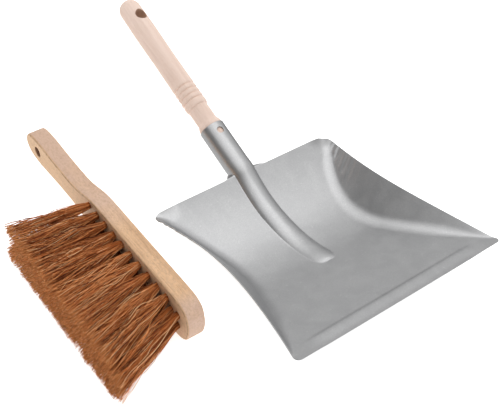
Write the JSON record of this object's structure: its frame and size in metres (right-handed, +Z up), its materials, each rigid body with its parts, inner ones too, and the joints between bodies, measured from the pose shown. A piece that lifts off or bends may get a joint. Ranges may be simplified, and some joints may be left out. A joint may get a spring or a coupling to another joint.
{
  "type": "dust pan and brush set",
  "caption": "Pressed metal dust pan with a rolled socket and a turned wooden handle, and a wooden hand brush with natural fibre tufts lying on its side beside it.",
  "frame": {"origin": "middle of the set's foot print, on the floor that it lies on", "axes": "+Z up, the open lip of the pan towards -Y and its handle towards +Y, the brush beside the pan towards -X with its handle towards +Y"},
  "size_m": [0.3654, 0.4298, 0.1121],
  "materials": {
    "galvanised_steel": "matt galvanised, fine grain",
    "beech": "turned and sanded beech, unvarnished",
    "nail_steel": "plain wire nail",
    "brush_wood": "sanded, unvarnished",
    "staple_wire": "flat wire",
    "coir": "coconut fibre bristle"
  },
  "bodies": {
    "pan": {"pan_sheet": "galvanised_steel", "pan_handle": "beech", "handle_nail": "nail_steel"},
    "brush": {"brush_block": "brush_wood", "tuft_staples": "staple_wire", "tuft_row1_01": "coir", "tuft_row1_02": "coir", "tuft_row1_03": "coir", "tuft_row1_04": "coir", "tuft_row1_05": "coir", "tuft_row1_06": "coir", "tuft_row1_07": "coir", "tuft_row1_08": "coir", "tuft_row1_09": "coir", "tuft_row1_10": "coir", "tuft_row2_01": "coir", "tuft_row2_02": "coir", "tuft_row2_03": "coir", "tuft_row2_04": "coir", "tuft_row2_05": "coir", "tuft_row2_06": "coir", "tuft_row2_07": "coir", "tuft_row2_08": "coir", "tuft_row2_09": "coir", "tuft_row2_10": "coir", "tuft_row3_01": "coir", "tuft_row3_02": "coir", "tuft_row3_03": "coir", "tuft_row3_04": "coir", "tuft_row3_05": "coir", "tuft_row3_06": "coir", "tuft_row3_07": "coir", "tuft_row3_08": "coir", "tuft_row3_09": "coir", "tuft_row3_10": "coir", "tuft_row4_01": "coir", "tuft_row4_02": "coir", "tuft_row4_03": "coir", "tuft_row4_04": "coir", "tuft_row4_05": "coir", "tuft_row4_06": "coir", "tuft_row4_07": "coir", "tuft_row4_08": "coir", "tuft_row4_09": "coir", "tuft_row4_10": "coir", "tuft_nose_1": "coir", "tuft_nose_2": "coir"}
  },
  "joints": [
    {"name": "brush_lift", "type": "slide", "parent": "pan", "child": "brush", "axis": [0, 0, 1], "range_m": [0, 0.2]}
  ]
}
